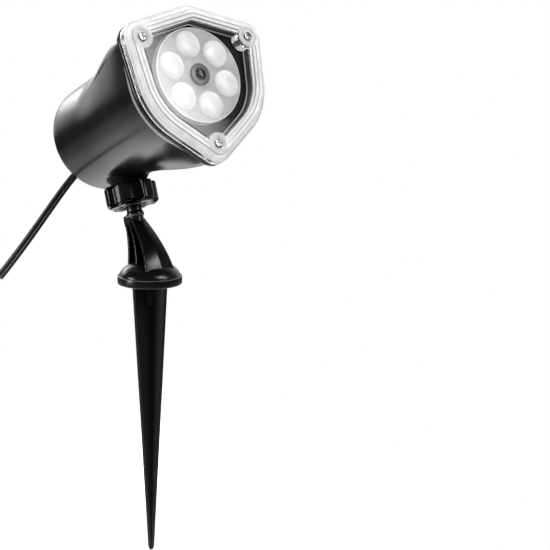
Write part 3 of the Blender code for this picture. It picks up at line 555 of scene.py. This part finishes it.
def make_cover(materials):
    """A thick clear cap: grooved raised rim, flat window, round screw bosses."""
    front = [
        (9.7, 5.0), (9.3, 5.0), (8.9, 5.0), (8.2, 5.05), (7.7, 5.9), (6.1, 5.9), (5.95, 5.55), (5.65, 5.55),
        (5.5, 5.9), (3.7, 5.9), (3.4, 5.4), (2.5, 5.2), (1.2, 4.2), (0.95, 3.7), (0.5, 2.94), (0.0, 2.4),
    ]
    side = [(0.0, 2.4), (0.0, 0.4), (0.25, 0.2), (0.0, 0.0), (0.0, -1.3), (2.2, -1.3), (2.3, 2.2)]
    under = [(3.4, 3.5), (8.6, 3.5), (9.2, 3.4), (9.5, 3.4), (9.9, 3.4)]
    profile = filleted(front, 0.18, steps=3)[:-1] + filleted(side, 0.15, steps=2) + under
    boss = filleted([(BOSS_R, -2.6), (BOSS_R, 5.7), (5.0, 5.7)], 0.5) + [(4.2, 5.7)]
    seat = [(SHANK_HOLE_R, -4.0), (SHANK_HOLE_R, 3.9), (3.5, 3.9), (3.5, 5.3), (3.9, 5.75), (3.9, 8.0)]
    steps = [("UNION", revolve(boss, 64, place)) for place in corner_places()]
    steps += [("DIFFERENCE", revolve(seat, 48, place)) for place in corner_places()]
    cover = combined("clear_cover", scaled(skin([inset_ring(inset, z) for inset, z in profile])), steps)
    window = outline_radii(8.35) * MM
    lines = [[outline_radii(inset) * MM for inset in pair] for pair in ((3.35, 3.8), (5.45, 6.0), (7.6, 8.3))]

    def in_window(centre):
        return not near_boss(centre) and centre.xy.length < window[outline_index(centre)]

    def on_boss_or_skirt(centre):
        return (near_boss(centre) and centre.z < 3.4 * MM) or centre.z < 2.3 * MM

    def on_painted_groove_shade(centre):
        """The grooves and steps that run round the rim."""
        i, reach = outline_index(centre), centre.xy.length
        on_rim = centre.z > 4.9 * MM and not near_boss(centre)
        return on_rim and any(low[i] < reach < high[i] for high, low in lines)

    # Painted light: the rest of the cover keeps the rim's white, glowing material
    paint(cover, 1, in_window)
    paint(cover, 1, on_boss_or_skirt)
    # Painted shade: the rim's grooves and steps get a darker grey
    paint(cover, 2, on_painted_groove_shade)
    looks = [materials[key] for key in ("rim_painted_white_glow", "clear_plastic", "groove_shade_edge_highlight")]
    piece(cover, "head", ["front_cover"], looks, HEAD, smooth=28)


def phillips(head_r, base, top, shank_r, length, centre):
    """A pan-head screw along -z, and the cuts of its tapered cross recess.

    base and top are the heights of its head's underside and crown.
    """
    shank = [(0.0, base - length), (shank_r, base - length + shank_r), (shank_r, base)]
    crown = [(head_r, base), (head_r, base + 0.35 * (top - base)), (0.75 * head_r, top), (0.0, top + 0.02)]
    bm = revolve(shank + filleted(crown, 0.5 * head_r, steps=6), 48, centre)
    wide, thin, floor = 0.62 * head_r, 0.15 * head_r, base + 0.35 * (top - base)
    x, y = centre
    signs = ((-1, -1), (1, -1), (1, 1), (-1, 1))
    arms = []
    for half_x, half_y in ((wide, thin), (thin, wide)):
        rings = [
            [Vector((x + sx * half_x * k, y + sy * half_y * k, z)) for sx, sy in signs]
            for z, k in ((floor, 0.72), (top + 0.4 + 0.1 * half_x, 1.05))
        ]
        arms.append(("DIFFERENCE", scaled(skin(rings))))
    return bm, arms


def make_screws(materials):
    for i, place in enumerate(corner_places(), 1):
        screw = combined(f"crossed_screw_{i}", *phillips(2.9, 4.2, 5.7, 1.5, 14.5, place))
        piece(screw, "head", [f"cover_screw_{i}"], [materials["zinc_steel"]], HEAD)


# ---------------------------------------------------------------- bezel and lens wheel

BEZEL_SLOT_R = 6.5  # clears the screw bosses
BEZEL_HOLE_R = 26.6
BEZEL_FLOOR = (-5.5, -4.0)
BEZEL_STEP = -0.6
HUB_DARK_R = 3.3


def make_bezel(materials):
    """The black well behind the window, with a stepped wall that clears the screw bosses."""
    low, high = BEZEL_FLOOR
    wall = [(3.0, low), (3.0, high), (8.4, high), (8.4, 3.0), (9.5, 3.0), (9.5, BEZEL_STEP)]
    wall = filleted(wall, 0.2, steps=2) + [(9.62, BEZEL_STEP), (10.0, -0.66), (10.1, -0.85), (10.1, high)]
    rings = [inset_ring(inset, z) for inset, z in wall]
    rings += [outline_ring(np.full(COUNT, BEZEL_HOLE_R), z) for z in (high, low)]
    slots = []
    for place in corner_places():
        direction = np.degrees(atan2(place[1], place[0]))
        outline = arc(BEZEL_SLOT_R, direction + 90, direction + 270, 30, place)
        outline += arc(BEZEL_SLOT_R, direction - 90, direction + 90, 1, polar(51.0, direction))
        slots.append(("DIFFERENCE", prism(outline, low - 1.0, 4.0)))
    bezel = combined("bezel_well", scaled(skin(rings, closed=True)), slots)
    # Painted light: the wall and the top of the step get the lighter grey
    paint(bezel, 1, lambda centre: centre.z > (BEZEL_STEP - 0.02) * MM)
    # Painted highlight: a pale glowing line just under the bezel's step
    paint(bezel, 2, lambda centre: (BEZEL_STEP - 0.3) * MM < centre.z <= (BEZEL_STEP - 0.02) * MM)
    looks = [materials[key] for key in ("bezel_plastic", "bezel_painted_light", "groove_shade_edge_highlight")]
    piece(bezel, "head", ["inner_bezel"], looks, HEAD, smooth=28)


def make_wheel(materials):
    """A clear disc with a deep skirt and six domed lenses."""
    rim = filleted([(25.2, 0.0), (WHEEL_R, 0.0), (WHEEL_R, -10.0), (24.95, -10.0), (24.95, -2.0)], 0.25)
    profile = [(WHEEL_BORE_R, 0.0), (8.0, 0.0), (16.0, 0.0), (24.6, 0.0), *rim, (12.0, -2.0), (4.0, -2.0)]
    profile += [(4.0, -6.5), (WHEEL_BORE_R, -6.5)]
    dome = [(LENS_R, -1.0), (LENS_R, 0.0)]
    dome += [(LENS_R * x, LENS_RISE * y) for x, y in arc(1.0, 6, 84, 12)] + [(0.0, LENS_RISE)]
    places = [polar(LENS_CIRCLE_R, LENS_PHASE + 360 / LENS_COUNT * i) for i in range(LENS_COUNT)]
    steps = [("UNION", revolve(dome, 72, place)) for place in places]
    wheel = combined("lens_disc", revolve(profile, 144, closed=True), steps)

    def on_lens(centre):
        near = any((centre.xy - Vector(place) * MM).length < (LENS_R + 0.02) * MM for place in places)
        return near and centre.z > 0.02 * MM

    def on_glowing_edge(centre):
        return centre.xy.length > (WHEEL_R - 0.5) * MM and centre.z > -0.6 * MM

    # Painted light: the lenses and the edge glow brighter than the disc
    paint(wheel, 1, on_lens)
    paint(wheel, 2, on_glowing_edge)
    looks = [materials[key] for key in ("wheel_painted_glow", "lens_glow", "wheel_edge_painted_glow")]
    piece(wheel, "lens_wheel", ["lens_wheel"], looks, HEAD, smooth=24)


def make_hub(materials):
    """The smoked ring round the wheel's middle, and the screw that the wheel turns on."""
    cap = [(WHEEL_BORE_R, 0.3), (6.0, 0.3), (6.0, 1.1), (5.5, 1.45), (HUB_DARK_R, 1.45), (WHEEL_BORE_R, 1.45)]
    cap = combined("hub_disc", revolve(filleted(cap, 0.2, steps=3), 96, closed=True))
    paint(cap, 1, lambda centre: centre.xy.length < HUB_DARK_R * MM)
    looks = [materials[key] for key in ("smoke_plastic", "bezel_plastic")]
    piece(cap, "lens_wheel", ["hub_cap"], looks, HEAD)
    pin = combined("hub_screw", *phillips(2.6, 1.75, 3.05, 1.5, 15.3, (0.0, 0.0)))
    piece(pin, "head", ["hub_pin"], [materials["dark_steel"]], HEAD)


# ---------------------------------------------------------------- nut, arm and stake

NUT_LOBES = 6
NUT_TURN = -77.0  # direction of one lobe's middle, in degrees
NUT_R = 15.4
NUT_VALLEY_R = 12.3
NECK_R = 4.6


def nut_outline(scale):
    """Six broad lobes with shallow hollows between them."""
    points = []
    for i in range(NUT_LOBES):
        middle = i * 360 / NUT_LOBES + NUT_TURN
        points += [polar(NUT_R * scale, middle + a) for a in (-15, -8, 0, 8, 15)]
        points += [polar(NUT_VALLEY_R * scale, middle + a) for a in (19, 24.5, 30, 35.5, 41)]
    return filleted(points, 1.1, closed=True, steps=4)


def make_nut(materials):
    """A glossy clamping nut with six broad lobes."""
    levels = [(-7.0, 0.90), (-6.7, 0.925), (-6.0, 0.975), (-5.5, 0.995), (-4.6, 1.0), (4.6, 1.0)]
    levels += [(5.1, 0.995), (5.55, 0.975), (5.9, 0.94)]
    rings = [[Vector((x, y, z)) for x, y in nut_outline(scale)] for z, scale in levels]
    bore = [(0.0, -8.0), (10.9, -8.0), (8.5, -5.7), (8.5, -5.0), (10.85, -5.0), (10.85, 7.0), (0.0, 7.0)]
    nut = combined("lobed_nut", scaled(skin(rings)), [("DIFFERENCE", revolve(bore, 96))])
    piece(nut, "lock_nut", ["lock_nut"], [materials["nut_plastic"]], BALL, smooth=40)


def plate(points, foot, top, crest, thickness):
    """A plate along a Bezier curve: half-width from foot to top, rounded edges, a crease down its middle."""
    path = bezier(points, 20)
    rings = []
    for i, point in enumerate(path):
        share = i / (len(path) - 1)
        half = foot + (top - foot) * share
        rise = crest * (1 - 0.6 * share)
        along = (path[min(i + 1, len(path) - 1)] - path[max(i - 1, 0)]).normalized()
        out = Vector((0.0, -along.z, along.y))
        outline = [(-half, 0.0), (0.0, rise), (half, 0.0)]
        outline += [(half, -thickness), (0.0, rise - thickness), (-half, -thickness)]
        section = filleted(outline, 0.7, closed=True, steps=3)
        rings.append([point + Vector((u, 0.0, 0.0)) + out * v for u, v in section])
    return scaled(skin(rings))


def make_arm(materials):
    """Flange with its dome, three curved plates on a web, and the neck with its ball."""
    profile = filleted([(0, 0), (FLANGE_R, 0), (FLANGE_R, 5.0), (17.6, 5.0)], 0.9)
    profile += [(DOME_R * x, 4.0 + 9.5 * y) for x, y in arc(1.0, 7, 84, 18)] + [(0.0, 13.5)]
    front = [(0, -12.9, 3.5), (0, -10.2, 21.8), (0, 15.2, 38.5)]
    middle = [(0, -0.7, 4.0), (0, 0.3, 22.2), (0, 17.8, 38.4)]
    back = [(0, 9.0, 4.0), (0, 8.9, 24.7), (0, 20.6, 37.0)]
    web = [Vector((-1.1, p.y, p.z)) for p in bezier(front, 20) + bezier(back, 20)[::-1]]
    shoulder = [(0, -17.0), (4.4, -17.0), (4.5, -13.6), (5.25, -12.8), (5.25, -11.4), (NECK_R, -10.4)]
    neck = filleted(shoulder + [(NECK_R, -5.9)], 0.3) + arc(BALL_R, -51, 84, 20) + [(0.0, BALL_R)]
    steps = [
        ("UNION", plate(front, 10.7, 4.1, 2.0, 2.0)),
        ("UNION", plate(middle, 9.7, 4.6, 0.0, 1.8)),
        ("UNION", plate(back, 9.2, 4.6, 0.0, 1.8)),
        ("UNION", scaled(skin([web, [p + Vector((2.2, 0, 0)) for p in web]]))),
        ("UNION", moved(revolve(neck, 72), BALL)),
        ("UNION", moved(block((-4.9, -0.5, -17.5), (4.9, 6.2, -13.2)), BALL)),
        ("DIFFERENCE", revolve([(4.75, -1.0), (4.75, 9.3)], 48)),
    ]
    arm = combined("flanged_arm", revolve(profile, 144), steps)
    from_ball = BALL.inverted()

    def on_painted_highlight(centre):
        """The neck's ring, and the flange's upper edge."""
        place = from_ball @ centre
        on_flange = 4.35 * MM < centre.z < 5.2 * MM and centre.xy.length > 18.2 * MM
        return on_flange or (-13.3 * MM < place.z < -12.2 * MM and place.xy.length > 4.65 * MM)

    # Painted highlight on the neck's ring and the flange's upper edge
    paint(arm, 1, on_painted_highlight)
    looks = [materials[key] for key in ("arm_plastic", "painted_highlight_ring")]
    piece(arm, "stand", ["support_arm"], looks, smooth=34)


def make_stake(materials):
    """Four tapering webs with rounded edges, and the round boss under the flange."""
    def plus(half, web, z):
        t = web / 2
        ring = []
        for turn in range(4):
            quarter = [(half, -t), (half, t), (t, t)]
            a = turn * pi / 2
            ring += [(x * cos(a) - y * sin(a), x * sin(a) + y * cos(a)) for x, y in quarter]
        return [Vector((x, y, z)) for x, y in filleted(ring, 0.32, closed=True, steps=3)]

    top, taper_end = -0.3, 3.0 - STAKE_LENGTH
    wide, narrow = 13.3, 1.7
    rings = []
    for z in np.linspace(top, taper_end, 24):
        rings.append(plus(wide + (narrow - wide) * (z - top) / (taper_end - top), 2.3, z))
    rings += [plus(1.5, 2.1, -164.2), plus(1.2, 1.7, -165.3), plus(0.8, 1.1, -STAKE_LENGTH)]
    boss = filleted([(0, -12.5), (4.45, -12.5), (4.45, -0.4), (4.4, 0.0), (4.4, 9.0), (0.0, 9.0)], 0.5)
    stake = combined("tapered_stake", scaled(skin(rings)), [("UNION", revolve(boss, 72))])
    turn = Matrix.Rotation(radians(STAKE_TURN), 4, "Z")
    piece(stake, "stand", ["ground_stake"], [materials["stake_plastic"]], turn, smooth=30)


# ---------------------------------------------------------------- cord

CORD_STEER = ((7.3, 82.3, 74.8), (-23.0, 80.6, 31.2), (-71.0, 52.6, 3.1))  # bends it down to its end
CORD_STRAIGHT = 23.25
CORD_LOBE = (1.3, 1.15)  # radius of each core, and its distance from the middle


def make_grommet(materials):
    """The rubber sleeve where the cord leaves the housing."""
    profile = [(2.75, -109.0), (3.9, -109.0), (3.9, -114.3), (6.4, -114.3), (6.4, -116.0), (4.6, -117.0)]
    profile += [(3.6, -124.0), (2.75, -124.0)]
    profile = filleted(profile, 0.4, closed=True, steps=3)
    grommet = combined("cord_sleeve", revolve(profile, 64, (0.0, CORD_HEIGHT), closed=True))
    piece(grommet, "head", ["cord_grommet"], [materials["black_rubber"]], HEAD)


def make_cord(materials):
    """The twin-core cord, from inside its grommet to where it is cut."""
    inside, outside = (HEAD @ Vector((0.0, CORD_HEIGHT * MM, z * MM)) / MM for z in (-101, -125))
    backwards = (outside - inside).normalized()
    steer = [Vector(point) for point in CORD_STEER]
    path = [inside, inside.lerp(outside, 0.5)]
    path += bezier([outside, outside + backwards * CORD_STRAIGHT, *steer], 90)
    lobe = arc(CORD_LOBE[0], 150, -150, 20, (CORD_LOBE[1], 0.0))
    section = lobe + [(-u, -v) for u, v in lobe]
    rings = []
    for i, point in enumerate(path):
        along = (path[min(i + 1, len(path) - 1)] - path[max(i - 1, 0)]).normalized()
        outwards = along.cross(Vector((1.0, 0.0, 0.0))).normalized()
        across = outwards.cross(along).normalized()
        rings.append([point + across * u + outwards * v for u, v in section])
    cord = combined("twin_cord", scaled(skin(rings)))
    piece(cord, "head", ["power_cord"], [materials["black_rubber"]], smooth=50)


# ---------------------------------------------------------------- pieces kept from the CAD

def finish_cad_nodes(materials):
    """Procedural materials for the CAD pieces that stay, by the record's slots."""
    for part in frame["record"]["subparts"]:
        node = frame["nodes"].get(part["node"])
        if node is None or node.hide_render:
            continue
        for slot in node.material_slots:
            slot.material = materials[part["material_slot"]]


# ---------------------------------------------------------------- studio

FLOOR_Z = -0.1665
WORLD_BEHIND = (0.62, 0.79, 0.0)  # the world's bright side, behind the object
POOL_MIDDLE = (0.05, 0.15, 0.0)
POOL = ((0.0, 1.0), (0.25, 0.42), (0.45, 0.16), (0.85, 0.03), (1.0, 0.03))  # metres away, brightness
POOL_STRENGTH = 2.2

WINDOW_LIGHTS = 4
WINDOW_RADIANCE = 1.15
WINDOW_TURN = 25.0
WINDOW_CORNER = (0.585, 0.265, 0.80)  # in the head's frame, where their slanted edges meet
LIGHTS = {  # place, target, size and radiance
    "rim_light": ((-0.10, 1.15, 0.48), (0.0, 0.0, 0.12), (0.70, 0.30), 3.5),
    "left_rear_light": ((-0.25, 1.0, 0.16), (0.0, 0.0, 0.12), (0.30, 0.30), 0.6),
    "left_light": ((-0.94, 0.30, 0.12), (0.0, 0.0, 0.05), (0.34, 0.50), 8.0),
    "front_light": ((0.18, -0.70, 0.62), (0.0, 0.0, 0.03), (0.28, 0.28), 5.0),
    "top_light": ((0.0, 0.05, 0.95), (0.0, 0.0, 0.05), (0.50, 0.50), 4.0),
}

CAMERA_AZIMUTH, CAMERA_ELEVATION, CAMERA_ROLL = -32.5528, 11.8073, 0.303  # degrees
CAMERA_DISTANCE = 0.680
IMAGE = 550.0
FOCAL_LENGTH = 1168.4 / IMAGE  # in widths of the image
ORIGIN_IN_IMAGE = (149.82 / IMAGE, 283.10 / IMAGE)


def softbox(name, size, radiance):
    """A rectangular light whose brightness doesn't depend on its size."""
    light = bpy.data.lights.new(name, "AREA")
    light.shape = "RECTANGLE"
    light.size, light.size_y = size
    light.energy = 4 * size[0] * size[1] * radiance
    lamp = bpy.data.objects.new(name, light)
    bpy.context.scene.collection.objects.link(lamp)
    return lamp


def make_lights():
    # Parallel to the cover's window, which mirrors them at its left with a soft slanted edge
    for i in range(WINDOW_LIGHTS):
        width = 0.20 + 0.03 * i
        lamp = softbox(f"window_light_{i}", (width, 0.50), WINDOW_RADIANCE)
        corner = Matrix.Translation(Vector(WINDOW_CORNER) + Vector((0.0, 0.0, 0.004 * i)))
        aside = Matrix.Translation((-0.005 - 0.02 * i - width / 2, 0.0, 0.0))
        lamp.matrix_world = HEAD @ corner @ Matrix.Rotation(radians(WINDOW_TURN), 4, "Z") @ aside
    for name, (at, target, size, radiance) in LIGHTS.items():
        lamp = softbox(name, size, radiance)
        lamp.location = at
        lamp.rotation_mode = "QUATERNION"
        lamp.rotation_quaternion = (Vector(target) - Vector(at)).to_track_quat("-Z", "Y")


def calculated(nodes, links, operation, first, second):
    """A Math node on two values, each a socket or a number."""
    node = nodes.new("ShaderNodeMath")
    node.operation = operation
    for socket, value in zip(node.inputs, (first, second)):
        if isinstance(value, (int, float)):
            socket.default_value = value
        else:
            links.new(value, socket)
    return node.outputs[0]


def seen_white(nodes, links, strength, own_hit=0):
    """White to look at, directly or through clear plastic; otherwise it shines as the strength says.

    own_hit is 1 for the world, whose Ray Depth counts its own hit as well.
    """
    path = nodes.new("ShaderNodeLightPath").outputs
    turns = calculated(nodes, links, "SUBTRACT", path["Ray Depth"], path["Transmission Depth"])
    straight = calculated(nodes, links, "LESS_THAN", turns, own_hit + 0.5)
    kind = calculated(nodes, links, "MAXIMUM", path["Is Camera Ray"], path["Is Transmission Ray"])
    seen = calculated(nodes, links, "MULTIPLY", kind, straight)
    return calculated(nodes, links, "MAXIMUM", seen, strength)


def make_world():
    """A studio that is white behind the object and low down, and darker overhead and in front."""
    world = bpy.data.worlds.new("studio")
    bpy.context.scene.world = world
    world.use_nodes = True
    nodes, links = world.node_tree.nodes, world.node_tree.links
    background = nodes["Background"]
    background.inputs["Color"].default_value = (1.0, 1.0, 1.0, 1.0)
    coordinates = nodes.new("ShaderNodeTexCoord").outputs["Generated"]
    split = nodes.new("ShaderNodeSeparateXYZ")
    links.new(coordinates, split.inputs["Vector"])
    toward = nodes.new("ShaderNodeVectorMath")
    toward.operation = "DOT_PRODUCT"
    links.new(coordinates, toward.inputs[0])
    toward.inputs[1].default_value = WORLD_BEHIND

    def mapped(source, low, high, out_low, out_high):
        node = nodes.new("ShaderNodeMapRange")
        node.interpolation_type = "SMOOTHSTEP"
        limits = {"From Min": low, "From Max": high, "To Min": out_low, "To Max": out_high}
        for socket, value in limits.items():
            node.inputs[socket].default_value = value
        links.new(source, node.inputs["Value"])
        return node.outputs["Result"]

    behind = mapped(toward.outputs["Value"], 0.35, 0.90, 0.10, 1.0)
    overhead = mapped(split.outputs["Z"], 0.35, 0.8, 1.0, 0.3)
    pattern = calculated(nodes, links, "MULTIPLY", behind, overhead)
    links.new(seen_white(nodes, links, pattern, own_hit=1), background.inputs["Strength"])


def make_floor():
    """A floor that looks white and shines brightest in a pool under and behind the object."""
    floor = bmesh.new()
    bmesh.ops.create_grid(floor, x_segments=1, y_segments=1, size=14.0)
    floor = to_object("studio_floor", floor)
    floor.location = (0.0, 0.0, FLOOR_Z)
    material, nodes, links = new_material("floor_white")
    glow = nodes.new("ShaderNodeEmission")
    away = nodes.new("ShaderNodeVectorMath")
    away.operation = "DISTANCE"
    away.inputs[1].default_value = POOL_MIDDLE
    links.new(nodes.new("ShaderNodeTexCoord").outputs["Object"], away.inputs[0])
    pool = nodes.new("ShaderNodeValToRGB")
    pool.color_ramp.interpolation = "EASE"
    stops = pool.color_ramp.elements
    for place, _ in POOL[1:-1]:
        stops.new(place)
    for stop, (_, value) in zip(stops, POOL):
        stop.color = (value, value, value, 1.0)
    links.new(away.outputs["Value"], pool.inputs["Fac"])
    strength = calculated(nodes, links, "MULTIPLY", pool.outputs["Color"], POOL_STRENGTH)
    links.new(seen_white(nodes, links, strength), glow.inputs["Strength"])
    links.new(glow.outputs["Emission"], nodes["Material Output"].inputs["Surface"])
    floor.data.materials.append(material)


def make_camera():
    """The photograph's viewing angle."""
    azimuth, elevation, roll = (radians(a) for a in (CAMERA_AZIMUTH, CAMERA_ELEVATION, CAMERA_ROLL))
    back = Vector((sin(azimuth) * cos(elevation), -cos(azimuth) * cos(elevation), sin(elevation)))
    right = Vector((cos(azimuth), sin(azimuth), 0.0))
    up = back.cross(right)
    right, up = right * cos(roll) - up * sin(roll), right * sin(roll) + up * cos(roll)
    data = bpy.data.cameras.new("camera")
    data.sensor_width = 36.0
    data.lens = FOCAL_LENGTH * data.sensor_width
    data.shift_x = 0.5 - ORIGIN_IN_IMAGE[0]
    data.shift_y = ORIGIN_IN_IMAGE[1] - 0.5
    data.clip_start, data.clip_end = 0.01, 100.0
    camera = bpy.data.objects.new("camera", data)
    basis = Matrix((right, up, back)).transposed().to_4x4()
    camera.matrix_world = Matrix.Translation(back * CAMERA_DISTANCE) @ basis
    bpy.context.scene.collection.objects.link(camera)
    bpy.context.scene.camera = camera


materials = make_materials()
for make in (
    make_housing, make_cover, make_screws, make_bezel, make_wheel, make_hub, make_nut, make_arm, make_stake,
    make_grommet, make_cord, finish_cad_nodes,
):
    make(materials)
make_world()
make_floor()
make_lights()
make_camera()
bpy.context.scene.view_settings.view_transform = "Standard"
